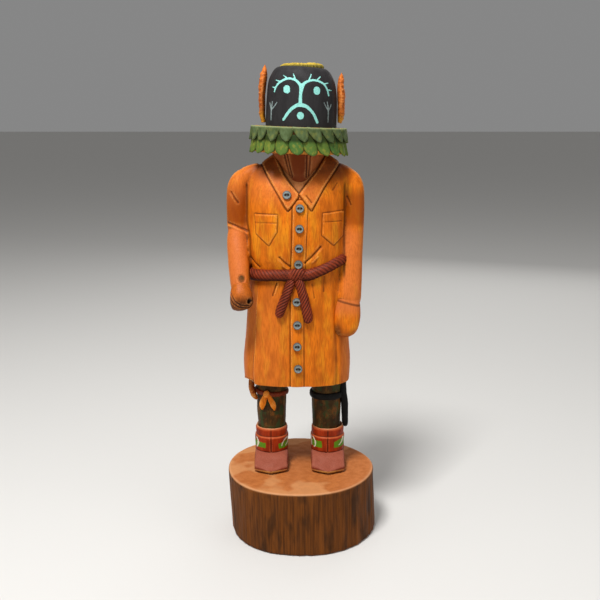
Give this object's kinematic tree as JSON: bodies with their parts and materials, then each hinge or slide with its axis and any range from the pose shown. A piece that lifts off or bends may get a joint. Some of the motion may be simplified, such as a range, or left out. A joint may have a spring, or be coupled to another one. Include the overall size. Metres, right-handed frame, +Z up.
{
  "type": "kachina doll",
  "caption": "Carved and painted standing doll with a case mask, leaf ruff, belted coat and wrapped moccasins, on a round slab cut from a branch",
  "frame": {"origin": "centre of the bounding box's underside, in the plane of the slab's flat foot", "axes": "+Z up, the doll faces -Y, and +X is the doll's own left"},
  "size_m": [0.0918, 0.09, 0.2799],
  "materials": {
    "base_wood": "sawn branch slab, bark removed, brown stain under a thin wax",
    "painted_wood": "knife-carved cottonwood root, stained and painted by hand, satin",
    "ear_wood": "carved wood painted red over a yellow foot, satin"
  },
  "bodies": {
    "root": {"base": "base_wood", "figure": "painted_wood", "ear_right": "ear_wood", "ear_left": "ear_wood"}
  },
  "joints": []
}
